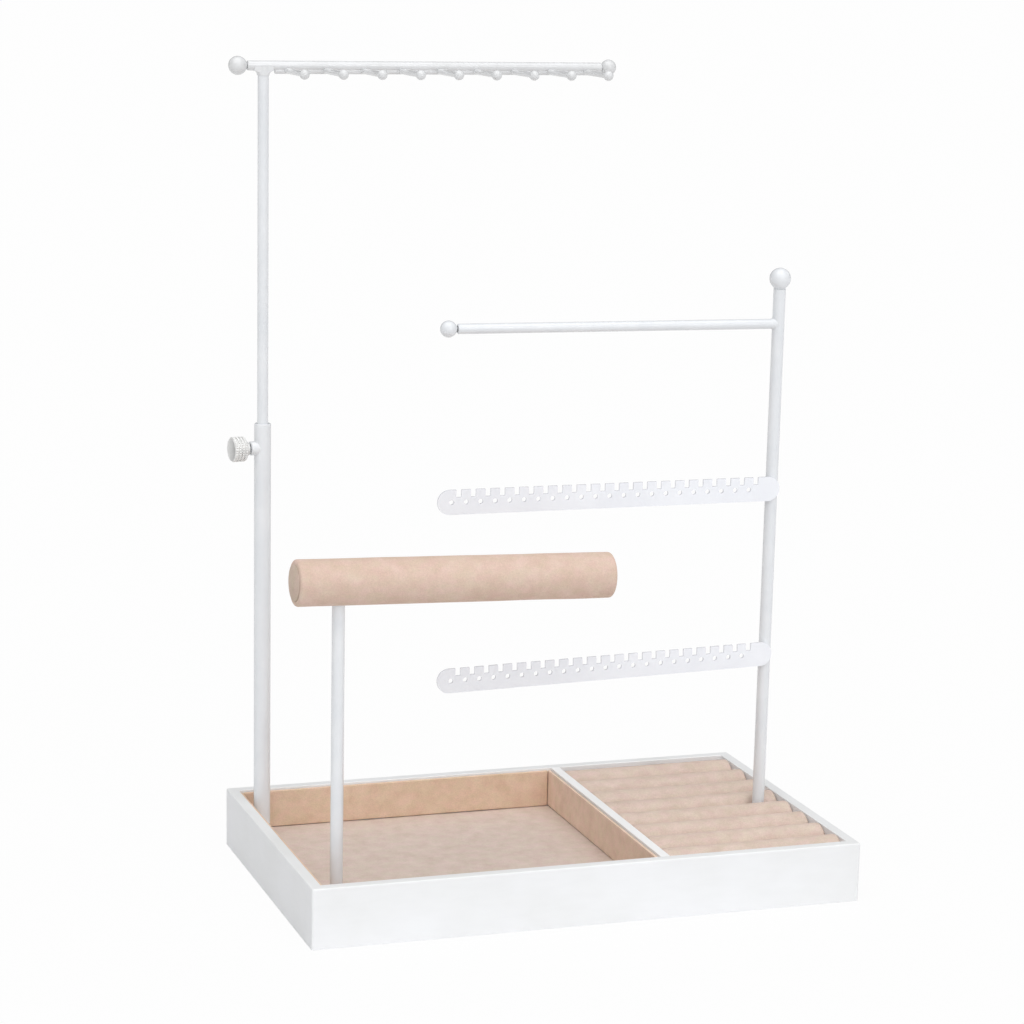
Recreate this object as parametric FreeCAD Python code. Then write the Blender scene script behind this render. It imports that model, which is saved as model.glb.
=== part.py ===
import FreeCAD, Part
import math
import os

# Jewelry stand: a velvet-lined tray box with a ring-roll compartment, a telescoping
# necklace mast with pegs, a padded bracelet roll and a post with two earring strips.
# Millimetres. Origin at the centre of the base's underside, +X right, +Y back, +Z up.

# ---- Base box ----
base_length = 300.0
base_depth = 184.0
base_height = 32.0
wall_thickness = 6.0
corner_radius = 1.2
rim_radius = 0.8
inner_rim_radius = 0.5
bottom_thickness = 7.0
felt_thickness = 1.0
tray_length = 182.6
divider_thickness = 5.0

# ---- Velvet-covered cards in the tray ----
floor_pad_thickness = 2.0
liner_thickness = 2.0
liner_below_rim = 1.0
card_gap = 0.2

# ---- Ring compartment ----
ring_roll_count = 8
ring_bed_thickness = 4.0
ring_roll_proud = 0.6
ring_roll_gap = 0.2
ring_roll_end_gap = 0.3
ring_roll_end_radius = 0.5
foam_gap_to_post = 0.3

# ---- Mast: outer tube, inner rod and clamp ----
mast_tube_diameter = 9.0
rod_diameter = 5.8
rod_running_clearance = 0.1
mast_gap_to_liner = 1.4
mast_from_back = 26.0
mast_tube_top = 240.2
tube_mouth_chamfer = 0.6
foot_plug_length = 14.0
rod_engagement = 40.5
pivot_pin_diameter = 3.6
pivot_pin_length = 4.0
running_clearance = 0.05
clamp_below_tube_top = 13.2
clamp_angle_to_front = 7.0
stud_diameter = 4.0
stud_to_rod_gap = 0.2
boss_diameter = 7.5
boss_height = 2.7
boss_chamfer = 0.4
knob_to_boss_gap = 1.1
knob_shoulder_diameter = 7.0
knob_shoulder_length = 1.7
knob_diameter = 13.3
knob_length = 7.8
knob_chamfer = 0.7
knob_back_radius = 1.4
knob_bore_depth = 7.0
knurl_count = 30
knurl_depth = 0.35
knob_ring_count = 3
knob_ring_pitch = 1.75
knob_ring_width = 0.8
knob_ring_depth = 0.7

# ---- Necklace crossbar ----
crossbar_height = 427.0
crossbar_diameter = 5.1
crossbar_left_reach = 13.6
crossbar_right_reach = 190.2
crossbar_left_ball_diameter = 9.7
crossbar_right_ball_diameter = 8.4
crossbar_ball_collar_diameter = 4.0
crossbar_ball_collar_length = 0.1
crossbar_ball_gap = 0.4
tee_wall = 0.3
tee_flare_radius = 2.4
tee_to_rod_gap = 0.3
peg_count = 9
peg_first = 12.45
peg_pitch = 20.56
peg_length = 36.0
peg_diameter = 3.0
peg_tip_diameter = 5.3
peg_rail_below_bar_axis = 2.5
peg_rail_diameter = 3.4
peg_rail_gap_to_tee = 0.5
peg_rail_short_of_bar_end = 1.0

# ---- Bracelet roll ----
bracelet_post_diameter = 6.6
bracelet_post_from_left = 24.0
bracelet_post_from_front = 41.6
roll_height = 178.5
roll_length = 169.9
roll_left_overhang = 23.2
roll_droop_angle = 1.7
roll_turn_angle = 1.5
roll_core_diameter = 21.0
roll_padding_thickness = 1.0
roll_velvet_thickness = 0.6
roll_cap_thickness = 1.6
roll_cap_radius = 1.0

# ---- Display post with side bar and earring strips ----
display_post_diameter = 6.6
display_post_from_right = 19.5
display_ball_height = 320.2
display_ball_diameter = 11.5
display_ball_collar_length = 0.4
display_ball_gap = 0.1
side_bar_height = 296.1
side_bar_rise_angle = 0.4
side_bar_reach = 184.9
side_bar_diameter = 5.35
side_bar_ball_diameter = 8.75
side_bar_ball_collar_diameter = 4.6
side_bar_ball_collar_length = 0.1
side_bar_ball_gap = 1.0
weld_length = 1.0
weld_rise = 0.35
upper_strip_height = 207.2
upper_strip_inset = 0.4
lower_strip_height = 115.4
lower_strip_inset = 1.0
lower_strip_droop_angle = 0.9
lower_strip_turn_angle = 1.6
strip_length = 193.5
strip_width = 13.2
strip_thickness = 1.3
strip_bite = 0.3
strip_hole_pitch = 8.0
strip_hole_diameter = 2.6
strip_first_hole = 1.0
strip_plain_end = 11.0
notch_width = 2.9
notch_depth = 4.0

# ---- Finials and fasteners ----
finial_stud_diameter = 3.0
finial_stud_length = 5.0
post_chamfer = 0.4
screw_shank_diameter = 4.0
screw_thread_clearance = 0.1
screw_engagement = 11.0
screw_head_diameter = 8.0
screw_head_height = 2.0
screw_recess_width = 1.0
screw_recess_depth = 1.2
screw_hole_clearance = 0.2
tapped_hole_depth = 13.0
washer_diameter = 9.0
washer_thickness = 0.8
counterbore_diameter = 10.0
counterbore_depth = 3.2

# ---- Levels and places worked out from the sizes above ----
floor_level = felt_thickness + bottom_thickness
pad_level = floor_level + floor_pad_thickness
liner_top = base_height - liner_below_rim
left_inner = -base_length / 2 + wall_thickness
right_inner = base_length / 2 - wall_thickness
front_inner = -base_depth / 2 + wall_thickness
back_inner = base_depth / 2 - wall_thickness
divider_left = left_inner + tray_length
divider_right = divider_left + divider_thickness

tube_radius = mast_tube_diameter / 2
rod_radius = rod_diameter / 2
tube_bore_radius = rod_radius + rod_running_clearance
mast_x = left_inner + liner_thickness + mast_gap_to_liner + tube_radius
mast_y = base_depth / 2 - mast_from_back
bracelet_x = -base_length / 2 + bracelet_post_from_left
bracelet_y = -base_depth / 2 + bracelet_post_from_front
display_x = base_length / 2 - display_post_from_right
display_y = 0.0
display_radius = display_post_diameter / 2

X_AXIS = FreeCAD.Vector(1, 0, 0)
Y_AXIS = FreeCAD.Vector(0, 1, 0)
Z_AXIS = FreeCAD.Vector(0, 0, 1)
ORIGIN = FreeCAD.Vector(0, 0, 0)
OVERRUN = 5.0
TINY = 1e-6

parts = {}


def point(x, y, z):
    return FreeCAD.Vector(x, y, z)


def box(x0, x1, y0, y1, z0, z1):
    return Part.makeBox(x1 - x0, y1 - y0, z1 - z0, point(x0, y0, z0))


def rod(diameter, start, end):
    along = end - start
    return Part.makeCylinder(diameter / 2, along.Length, start, along)


def upright(diameter, x, y, z0, z1):
    return rod(diameter, point(x, y, z0), point(x, y, z1))


def turned(profile):
    """Solid turned about Z from (radius, height) points that start and end on the axis."""
    corners = [point(radius, 0, height) for radius, height in profile]
    outline = Part.makePolygon(corners + [corners[0]])
    return Part.Face(outline).revolve(ORIGIN, Z_AXIS, 360)


def is_circle(edge):
    return edge.Curve.TypeId == "Part::GeomCircle"


def chamfered_rod(diameter, start, end):
    bar = rod(diameter, start, end)
    return bar.makeChamfer(post_chamfer, [edge for edge in bar.Edges if is_circle(edge)])


def aimed(shape, origin, direction):
    """Move a shape built up the Z axis so that Z points along the direction."""
    placed = shape.copy()
    placed.Placement = FreeCAD.Placement(origin, FreeCAD.Rotation(Z_AXIS, direction))
    return placed


def tilted(shape, centre, droop, turn):
    """Turn about Z and droop about Y, both in degrees, about one centre."""
    moved = shape.copy()
    moved.rotate(centre, Y_AXIS, droop)
    moved.rotate(centre, Z_AXIS, turn)
    return moved


def collar_end(ball_diameter, collar_diameter, collar_length):
    """Distance from a ball's centre to the flat end of the collar that grows out of it."""
    return math.sqrt((ball_diameter / 2) ** 2 - (collar_diameter / 2) ** 2) + collar_length


def finial(ball_diameter, collar_diameter, collar_length, gap):
    """Ball at the origin, turned flat where its collar ends, with a threaded stud along -Z."""
    reach = collar_end(ball_diameter, collar_diameter, collar_length)
    below_collar = upright(ball_diameter, 0, 0, -reach - ball_diameter, -reach)
    ball = Part.makeSphere(ball_diameter / 2).cut(below_collar)
    collar = upright(collar_diameter, 0, 0, -reach, 0)
    stud = upright(finial_stud_diameter, 0, 0, -reach - gap - finial_stud_length, 0)
    return ball.fuse([collar, stud]).removeSplitter()


# ---- Base box: four mitred walls, bottom panel, divider and felt ----
def base_frame():
    outer = box(-base_length / 2, base_length / 2, -base_depth / 2, base_depth / 2, 0, base_height)
    corners = [edge for edge in outer.Edges
               if abs(edge.tangentAt(edge.FirstParameter).z) > 0.9]
    outer = outer.makeFillet(corner_radius, corners)
    rim = [edge for edge in outer.Edges if edge.BoundBox.ZMin > base_height - TINY]
    outer = outer.makeFillet(rim_radius, rim)
    inner = box(left_inner, right_inner, front_inner, back_inner, -OVERRUN, base_height + OVERRUN)
    ring = outer.cut(inner)
    inner_rim = [edge for edge in ring.Edges
                 if edge.BoundBox.ZMin > base_height - TINY
                 and abs(edge.CenterOfMass.x) <= right_inner + TINY
                 and abs(edge.CenterOfMass.y) <= back_inner + TINY]
    return ring.makeFillet(inner_rim_radius, inner_rim)


def mitred_wall(ring, first, second):
    """The part of the ring between two of its corners, cut at 45 degrees at both."""
    outside = []
    inside = []
    for side_x, side_y in (first, second):
        outside.append(point(side_x * (base_length / 2 + OVERRUN),
                             side_y * (base_depth / 2 + OVERRUN), 0))
        inside.append(point(side_x * (base_length / 2 - wall_thickness),
                            side_y * (base_depth / 2 - wall_thickness), 0))
    corners = [outside[0], outside[1], inside[1], inside[0], outside[0]]
    wedge = Part.Face(Part.makePolygon(corners)).extrude(Z_AXIS * base_height)
    return ring.common(wedge)


def post_places():
    return [(mast_x, mast_y), (bracelet_x, bracelet_y), (display_x, display_y)]


def make_box():
    ring = base_frame()
    parts["front_wall"] = mitred_wall(ring, (-1, -1), (1, -1))
    parts["right_wall"] = mitred_wall(ring, (1, -1), (1, 1))
    parts["back_wall"] = mitred_wall(ring, (1, 1), (-1, 1))
    parts["left_wall"] = mitred_wall(ring, (-1, 1), (-1, -1))

    panel = box(left_inner, right_inner, front_inner, back_inner, felt_thickness, floor_level)
    felt = box(left_inner, right_inner, front_inner, back_inner, 0, felt_thickness)
    for x, y in post_places():
        hole_diameter = screw_shank_diameter + 2 * screw_hole_clearance
        panel = panel.cut(upright(hole_diameter, x, y, 0, floor_level + OVERRUN))
        panel = panel.cut(upright(counterbore_diameter, x, y, 0, felt_thickness + counterbore_depth))
        felt = felt.cut(upright(counterbore_diameter, x, y, -OVERRUN, felt_thickness + OVERRUN))
    parts["bottom_panel"] = panel
    parts["base_felt"] = felt

    parts["divider"] = box(divider_left, divider_right, front_inner, back_inner,
                           floor_level, base_height)


# ---- Velvet-covered cards that line the tray ----
def make_tray_lining():
    pad = box(left_inner + card_gap, divider_left - card_gap,
              front_inner + card_gap, back_inner - card_gap, floor_level, pad_level)
    pad = pad.cut(upright(mast_tube_diameter + 2 * card_gap, mast_x, mast_y, 0, base_height))
    pad = pad.cut(upright(bracelet_post_diameter + 2 * card_gap, bracelet_x, bracelet_y,
                          0, base_height))
    parts["tray_floor_pad"] = pad

    left_face = left_inner + liner_thickness
    divider_face = divider_left - liner_thickness
    parts["left_liner"] = box(left_inner, left_face, front_inner, back_inner, pad_level, liner_top)
    parts["divider_liner"] = box(divider_face, divider_left, front_inner, back_inner,
                                 pad_level, liner_top)
    parts["front_liner"] = box(left_face, divider_face, front_inner,
                               front_inner + liner_thickness, pad_level, liner_top)
    parts["back_liner"] = box(left_face, divider_face, back_inner - liner_thickness,
                              back_inner, pad_level, liner_top)


# ---- Ring compartment: foam bed and eight rolls ----
def make_ring_compartment():
    bed_level = floor_level + ring_bed_thickness
    post_clearance = display_post_diameter + 2 * foam_gap_to_post
    post_hole = upright(post_clearance, display_x, display_y, 0, 2 * base_height)
    parts["ring_bed"] = box(divider_right, right_inner, front_inner, back_inner,
                            floor_level, bed_level).cut(post_hole)

    pitch = (back_inner - front_inner) / ring_roll_count
    radius = pitch / 2 - ring_roll_gap / 2
    axis_height = base_height + ring_roll_proud - radius
    for number in range(1, ring_roll_count + 1):
        y = back_inner - (number - 0.5) * pitch
        start = point(divider_right + ring_roll_end_gap, y, axis_height)
        end = point(right_inner - ring_roll_end_gap, y, axis_height)
        roll = rod(2 * radius, start, end)
        roll = roll.makeFillet(ring_roll_end_radius, [edge for edge in roll.Edges if is_circle(edge)])
        roll = roll.common(box(left_inner, right_inner, front_inner, back_inner,
                               bed_level, 2 * base_height))
        parts["ring_roll_%d" % number] = roll.cut(post_hole)


# ---- Fasteners: a machine screw and a washer under each of the three posts ----
def machine_screw(x, y, seat):
    head = upright(screw_head_diameter, x, y, seat - screw_head_height, seat)
    lower_rim = [edge for edge in head.Edges
                 if is_circle(edge) and edge.Curve.Center.z < seat - TINY]
    head = head.makeFillet(screw_head_height / 2, lower_rim)
    shank = upright(screw_shank_diameter, x, y, seat, floor_level + screw_engagement)
    screw = head.fuse(shank)
    half_slot = screw_recess_width / 2
    half_span = screw_head_diameter / 4
    recess_top = seat - screw_head_height + screw_recess_depth
    for half_x, half_y in ((half_slot, half_span), (half_span, half_slot)):
        slot = box(x - half_x, x + half_x, y - half_y, y + half_y, -OVERRUN, recess_top)
        screw = screw.cut(slot)
    return screw


def make_fasteners():
    washer_top = felt_thickness + counterbore_depth
    seat = washer_top - washer_thickness
    screws = []
    washers = []
    for x, y in post_places():
        screws.append(machine_screw(x, y, seat))
        washer = upright(washer_diameter, x, y, seat, washer_top)
        bore = upright(screw_shank_diameter + 2 * screw_hole_clearance, x, y, 0, base_height)
        washers.append(washer.cut(bore))
    parts["post_screws"] = Part.makeCompound(screws)
    parts["post_washers"] = Part.makeCompound(washers)


def tapped_hole(x, y, length):
    diameter = screw_shank_diameter + 2 * screw_thread_clearance
    return upright(diameter, x, y, floor_level - OVERRUN, floor_level + length)


def stud_bore(tip, direction):
    """Bore that takes a finial's stud, from a bar's end face inwards."""
    return rod(finial_stud_diameter, tip - direction * OVERRUN, tip + direction * finial_stud_length)


# ---- Mast: outer tube with its foot plug, inner rod and clamp ----
def clamp_direction():
    angle = math.radians(180 + clamp_angle_to_front)
    return point(math.cos(angle), math.sin(angle), 0)


def make_mast():
    top = point(mast_x, mast_y, mast_tube_top)
    tube = chamfered_rod(mast_tube_diameter, point(mast_x, mast_y, floor_level), top)
    tube = tube.cut(upright(2 * tube_bore_radius, mast_x, mast_y, 0, mast_tube_top + OVERRUN))
    tube = tube.cut(Part.makeCone(tube_bore_radius, tube_bore_radius + tube_mouth_chamfer,
                                  tube_mouth_chamfer, top - Z_AXIS * tube_mouth_chamfer))
    screw_height = mast_tube_top - clamp_below_tube_top
    centre = point(mast_x, mast_y, screw_height)
    out = clamp_direction()
    stud_hole_diameter = stud_diameter + 2 * stud_to_rod_gap
    tube = tube.cut(rod(stud_hole_diameter, centre, centre + out * (tube_radius + OVERRUN)))
    parts["mast_tube"] = tube

    plug = upright(2 * tube_bore_radius, mast_x, mast_y, floor_level, floor_level + foot_plug_length)
    parts["mast_foot_plug"] = plug.cut(tapped_hole(mast_x, mast_y, foot_plug_length + OVERRUN))

    rod_top = crossbar_height - crossbar_diameter / 2 - tee_to_rod_gap
    mast_rod = chamfered_rod(rod_diameter, point(mast_x, mast_y, mast_tube_top - rod_engagement),
                             point(mast_x, mast_y, rod_top))
    pin = upright(pivot_pin_diameter, mast_x, mast_y, mast_tube_top, rod_top + pivot_pin_length)
    parts["mast_rod"] = mast_rod.fuse(pin)
    make_clamp(centre, out)


def make_clamp(centre, out):
    stud_bore_diameter = stud_diameter + 2 * running_clearance
    boss_face = tube_radius + boss_height
    boss = turned([(0, 0), (boss_diameter / 2, 0), (boss_diameter / 2, boss_face - boss_chamfer),
                   (boss_diameter / 2 - boss_chamfer, boss_face), (0, boss_face)])
    boss = boss.cut(upright(stud_bore_diameter, 0, 0, 0, boss_face))
    boss = aimed(boss, centre, out)
    parts["clamp_boss"] = boss.cut(upright(mast_tube_diameter, mast_x, mast_y,
                                           centre.z - boss_diameter, centre.z + boss_diameter))

    shoulder_face = boss_face + knob_to_boss_gap
    head_start = shoulder_face + knob_shoulder_length
    bore_end = shoulder_face + knob_bore_depth
    parts["clamp_stud"] = rod(stud_diameter, centre + out * (rod_radius + stud_to_rod_gap),
                              centre + out * (bore_end - running_clearance))

    radius = knob_diameter / 2
    shoulder = upright(knob_shoulder_diameter, 0, 0, shoulder_face, head_start + knob_chamfer)
    knob = knob_head(radius, head_start).fuse(shoulder)
    knob = knob.cut(upright(stud_bore_diameter, 0, 0, 0, bore_end))
    parts["clamp_knob"] = aimed(knob, centre, out)


def knob_head(radius, start):
    """Thumb knob's head: rounded back, chamfered front, ring grooves and straight knurls."""
    end = start + knob_length
    head = upright(2 * radius, 0, 0, start, end)
    back = [edge for edge in head.Edges if is_circle(edge) and edge.Curve.Center.z < start + TINY]
    head = head.makeFillet(knob_back_radius, back)
    front = [edge for edge in head.Edges if is_circle(edge) and edge.Curve.Center.z > end - TINY]
    head = head.makeChamfer(knob_chamfer, front)
    grooves = knurls(radius, start, end)
    middle = (start + end) / 2
    for number in range(knob_ring_count):
        groove = middle + (number - (knob_ring_count - 1) / 2) * knob_ring_pitch
        outer = upright(2 * radius + OVERRUN, 0, 0,
                        groove - knob_ring_width / 2, groove + knob_ring_width / 2)
        grooves.append(outer.cut(upright(2 * (radius - knob_ring_depth), 0, 0, start, end)))
    return head.cut(grooves)


def knurls(radius, start, end):
    """V grooves along Z, spaced evenly round a knob's rim."""
    half_width = math.pi * radius / knurl_count * 0.8
    root = point(radius - knurl_depth, 0, start)
    side = radius + knurl_depth
    triangle = Part.makePolygon([root, point(side, half_width * 2, start),
                                 point(side, -half_width * 2, start), root])
    groove = Part.Face(triangle).extrude(Z_AXIS * (end - start))
    grooves = []
    for number in range(knurl_count):
        turned_groove = groove.copy()
        turned_groove.rotate(ORIGIN, Z_AXIS, 360.0 * number / knurl_count)
        grooves.append(turned_groove)
    return grooves


# ---- Crossbar that swivels on the rod, with its tee, end balls and pegs ----
def make_crossbar():
    left_ball = point(mast_x - crossbar_left_reach, mast_y, crossbar_height)
    right_ball = point(mast_x + crossbar_right_reach, mast_y, crossbar_height)
    collar = (crossbar_ball_collar_diameter, crossbar_ball_collar_length)
    left_end = left_ball + X_AXIS * (collar_end(crossbar_left_ball_diameter, *collar)
                                     + crossbar_ball_gap)
    right_end = right_ball - X_AXIS * (collar_end(crossbar_right_ball_diameter, *collar)
                                       + crossbar_ball_gap)
    pin_bore = upright(pivot_pin_diameter + 2 * running_clearance, mast_x, mast_y,
                       0, crossbar_height - crossbar_diameter / 2 + pivot_pin_length)
    bar = chamfered_rod(crossbar_diameter, left_end, right_end)
    parts["crossbar"] = bar.cut([stud_bore(left_end, X_AXIS), stud_bore(right_end, -X_AXIS),
                                 pin_bore])
    left_finial = finial(crossbar_left_ball_diameter, *collar, crossbar_ball_gap)
    right_finial = finial(crossbar_right_ball_diameter, *collar, crossbar_ball_gap)
    parts["crossbar_left_ball"] = aimed(left_finial, left_ball, -X_AXIS)
    parts["crossbar_right_ball"] = aimed(right_finial, right_ball, X_AXIS)

    envelope = rod(crossbar_diameter, left_end - X_AXIS * OVERRUN, right_end + X_AXIS * OVERRUN)
    make_tee(envelope)
    make_pegs(envelope)


def tee_reach():
    """Half of the tee's width along the bar."""
    return rod_radius + running_clearance + tee_wall + tee_flare_radius


def make_tee(bar_envelope):
    """Fillet of weld under the bar. It turns on the rod's top end with a running fit."""
    bore_radius = rod_radius + running_clearance
    neck_radius = bore_radius + tee_wall
    flare_radius = tee_reach()
    underside = crossbar_height - crossbar_diameter / 2
    foot = underside - tee_flare_radius
    top = underside + tee_flare_radius
    flare = upright(2 * flare_radius, mast_x, mast_y, foot, top)
    flare = flare.cut(Part.makeTorus(flare_radius, tee_flare_radius, point(mast_x, mast_y, foot)))
    half_width = crossbar_diameter / 2 + tee_wall
    flare = flare.common(box(mast_x - flare_radius, mast_x + flare_radius,
                             mast_y - half_width, mast_y + half_width, foot, top))
    neck = upright(2 * neck_radius, mast_x, mast_y, foot, top)
    tee = flare.fuse(neck).cut(bar_envelope)
    parts["crossbar_tee"] = tee.cut(upright(2 * bore_radius, mast_x, mast_y, foot - OVERRUN, top))


def make_pegs(bar_envelope):
    """Rail welded along the bar's underside, with ball-ended pegs that run level to the front."""
    height = crossbar_height - peg_rail_below_bar_axis
    rail_left = mast_x + tee_reach() + peg_rail_gap_to_tee
    rail_right = mast_x + crossbar_right_reach - crossbar_right_ball_diameter / 2
    rail = rod(peg_rail_diameter, point(rail_left, mast_y, height),
               point(rail_right - peg_rail_short_of_bar_end, mast_y, height))
    parts["peg_rail"] = rail.cut(bar_envelope)
    for number in range(1, peg_count + 1):
        x = mast_x + peg_first + (number - 1) * peg_pitch
        root = point(x, mast_y, height)
        tip = root - Y_AXIS * peg_length
        peg = rod(peg_diameter, root, tip)
        ball = Part.makeSphere(peg_tip_diameter / 2, tip, -Y_AXIS)
        parts["necklace_peg_%d" % number] = peg.fuse(ball).cut([bar_envelope, rail])


# ---- Bracelet roll: dowel core, foam and velvet sleeve with end discs, on its post ----
def make_bracelet_roll():
    centre = point(bracelet_x, bracelet_y, roll_height)
    post = chamfered_rod(bracelet_post_diameter, point(bracelet_x, bracelet_y, floor_level), centre)
    parts["bracelet_post"] = post.cut(tapped_hole(bracelet_x, bracelet_y, tapped_hole_depth))

    left = bracelet_x - roll_left_overhang
    right = left + roll_length
    padding_diameter = roll_core_diameter + 2 * roll_padding_thickness
    velvet_diameter = padding_diameter + 2 * roll_velvet_thickness
    layers = [("roll_core", 0, roll_core_diameter),
              ("roll_padding", roll_core_diameter, padding_diameter),
              ("roll_velvet", padding_diameter, velvet_diameter)]
    for node, inner_diameter, outer_diameter in layers:
        start = point(left + roll_cap_thickness, bracelet_y, roll_height)
        end = point(right - roll_cap_thickness, bracelet_y, roll_height)
        sleeve = rod(outer_diameter, start, end)
        if inner_diameter:
            sleeve = sleeve.cut(rod(inner_diameter, start - X_AXIS * OVERRUN, end + X_AXIS * OVERRUN))
        sleeve = tilted(sleeve, centre, roll_droop_angle, roll_turn_angle)
        parts[node] = sleeve.cut(upright(bracelet_post_diameter, bracelet_x, bracelet_y,
                                         floor_level, roll_height))

    for node, face, inwards in (("roll_left_cap", left, 1), ("roll_right_cap", right, -1)):
        outer_face = point(face, bracelet_y, roll_height)
        disc = rod(velvet_diameter, outer_face, outer_face + X_AXIS * roll_cap_thickness * inwards)
        rim = [edge for edge in disc.Edges
               if is_circle(edge) and abs(edge.Curve.Center.x - face) < TINY]
        disc = disc.makeFillet(roll_cap_radius, rim)
        parts[node] = tilted(disc, centre, roll_droop_angle, roll_turn_angle)


# ---- Display post with its ball, side bar and two earring strips ----
def make_display_post():
    ball_centre = point(display_x, display_y, display_ball_height)
    collar = (display_post_diameter, display_ball_collar_length)
    reach = collar_end(display_ball_diameter, *collar) + display_ball_gap
    top = ball_centre - Z_AXIS * reach
    post = chamfered_rod(display_post_diameter, point(display_x, display_y, floor_level), top)
    parts["display_post"] = post.cut([tapped_hole(display_x, display_y, tapped_hole_depth),
                                      stud_bore(top, -Z_AXIS)])
    post_finial = finial(display_ball_diameter, *collar, display_ball_gap)
    parts["display_post_ball"] = aimed(post_finial, ball_centre, Z_AXIS)
    make_side_bar()
    make_earring_strips()


def make_side_bar():
    axis_start = point(display_x, display_y, side_bar_height)
    ball_centre = axis_start - X_AXIS * side_bar_reach
    collar = (side_bar_ball_collar_diameter, side_bar_ball_collar_length)
    free_end = ball_centre + X_AXIS * (collar_end(side_bar_ball_diameter, *collar)
                                       + side_bar_ball_gap)
    bar = chamfered_rod(side_bar_diameter, free_end, axis_start)
    radius = side_bar_diameter / 2
    weld = turned([(0, 0), (radius + weld_rise, 0), (radius + weld_rise, display_radius),
                   (radius, display_radius + weld_length), (0, display_radius + weld_length)])
    bar = bar.fuse(aimed(weld, axis_start, -X_AXIS)).cut(stud_bore(free_end, X_AXIS))
    bar = tilted(bar, axis_start, side_bar_rise_angle, 0)
    parts["side_bar"] = bar.cut(upright(display_post_diameter, display_x, display_y,
                                        side_bar_height - base_height,
                                        side_bar_height + base_height))
    side_finial = finial(side_bar_ball_diameter, *collar, side_bar_ball_gap)
    parts["side_bar_ball"] = tilted(aimed(side_finial, ball_centre, -X_AXIS),
                                    axis_start, side_bar_rise_angle, 0)


def earring_strip(inset):
    """Flat strip with round ends, standing on edge along -X from the post's right side.

    A row of holes runs along its middle, with a notch in the top edge after each hole.
    """
    radius = strip_width / 2
    right_centre = display_radius - inset - radius
    left_centre = right_centre - (strip_length - strip_width)
    back = -display_radius + strip_bite
    front = back - strip_thickness
    plate = box(left_centre, right_centre, front, back, -radius, radius)
    for centre in (left_centre, right_centre):
        plate = plate.fuse(rod(strip_width, point(centre, front, 0), point(centre, back, 0)))
    plate = plate.removeSplitter()
    usable = strip_length - strip_width - strip_first_hole - strip_plain_end
    hole_count = int(usable / strip_hole_pitch + TINY) + 1
    cuts = []
    for number in range(hole_count):
        hole_x = left_centre + strip_first_hole + number * strip_hole_pitch
        notch_x = hole_x + strip_hole_pitch / 2
        cuts.append(rod(strip_hole_diameter, point(hole_x, front - OVERRUN, 0),
                        point(hole_x, back + OVERRUN, 0)))
        cuts.append(box(notch_x - notch_width / 2, notch_x + notch_width / 2,
                        front - OVERRUN, back + OVERRUN, radius - notch_depth, radius + OVERRUN))
    return plate.cut(cuts)


def make_earring_strips():
    post = upright(display_post_diameter, 0, 0, -base_height, base_height)
    placed = [("earring_strip_upper", upper_strip_height, upper_strip_inset, 0, 0),
              ("earring_strip_lower", lower_strip_height, lower_strip_inset,
               -lower_strip_droop_angle, lower_strip_turn_angle)]
    for node, height, inset, droop, turn in placed:
        strip = tilted(earring_strip(inset), ORIGIN, droop, turn).cut(post)
        strip.translate(point(display_x, display_y, height))
        parts[node] = strip


def main():
    make_box()
    make_tray_lining()
    make_ring_compartment()
    make_fasteners()
    make_mast()
    make_crossbar()
    make_bracelet_roll()
    make_display_post()
    os.makedirs("parts", exist_ok=True)
    for node, shape in parts.items():
        if not shape.isValid():
            raise ValueError("invalid shape: " + node)
        shape.exportStep("parts/%s.step" % node)
        print(node, len(shape.Solids), round(shape.Volume, 1))
    print(len(parts), "nodes")


main()
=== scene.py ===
import math

import bpy
from mathutils import Matrix, Vector


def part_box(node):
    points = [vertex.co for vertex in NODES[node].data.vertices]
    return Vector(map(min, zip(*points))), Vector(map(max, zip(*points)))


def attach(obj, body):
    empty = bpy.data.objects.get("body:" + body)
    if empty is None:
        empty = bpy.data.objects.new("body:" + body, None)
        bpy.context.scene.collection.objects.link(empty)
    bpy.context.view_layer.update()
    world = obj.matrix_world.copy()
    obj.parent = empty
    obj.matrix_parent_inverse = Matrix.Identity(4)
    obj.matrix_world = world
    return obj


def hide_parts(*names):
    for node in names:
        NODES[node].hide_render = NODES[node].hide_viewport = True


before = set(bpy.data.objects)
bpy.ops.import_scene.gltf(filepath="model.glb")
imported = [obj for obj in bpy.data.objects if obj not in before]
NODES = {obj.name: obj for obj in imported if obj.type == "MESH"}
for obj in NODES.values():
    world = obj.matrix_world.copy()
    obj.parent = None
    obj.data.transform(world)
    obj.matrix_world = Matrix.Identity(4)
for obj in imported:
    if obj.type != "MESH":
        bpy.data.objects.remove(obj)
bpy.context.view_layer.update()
STAND = "stand"
MM = 0.001
SAME_PLACE = 0.01 * MM
RIM_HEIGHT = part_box("front_wall")[1].z


def srgb(red, green, blue):
    """Linear colour from the 0 to 255 values of a colour chart."""
    def linear(value):
        value = value / 255
        return value / 12.92 if value <= 0.04045 else ((value + 0.055) / 1.055) ** 2.4
    return (linear(red), linear(green), linear(blue), 1)


def grey(share):
    """Factor for a colour that is the same in its three channels."""
    return (share, share, share, 1)


# ---------------------------------------------------------------- shader nodes
def new_finish(name):
    material = bpy.data.materials.new(name)
    material.use_nodes = True
    nodes = material.node_tree.nodes
    return material, nodes, material.node_tree.links, nodes["Principled BSDF"]


def adjust(shader, settings):
    for socket, value in settings.items():
        shader.inputs[socket].default_value = value


def pattern_space(nodes, links, stretch=(1, 1, 1)):
    """Object coordinates, squeezed where a grain runs along one way."""
    where = nodes.new("ShaderNodeTexCoord")
    mapping = nodes.new("ShaderNodeMapping")
    mapping.inputs["Scale"].default_value = stretch
    links.new(where.outputs["Object"], mapping.inputs["Vector"])
    return mapping.outputs["Vector"]


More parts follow.
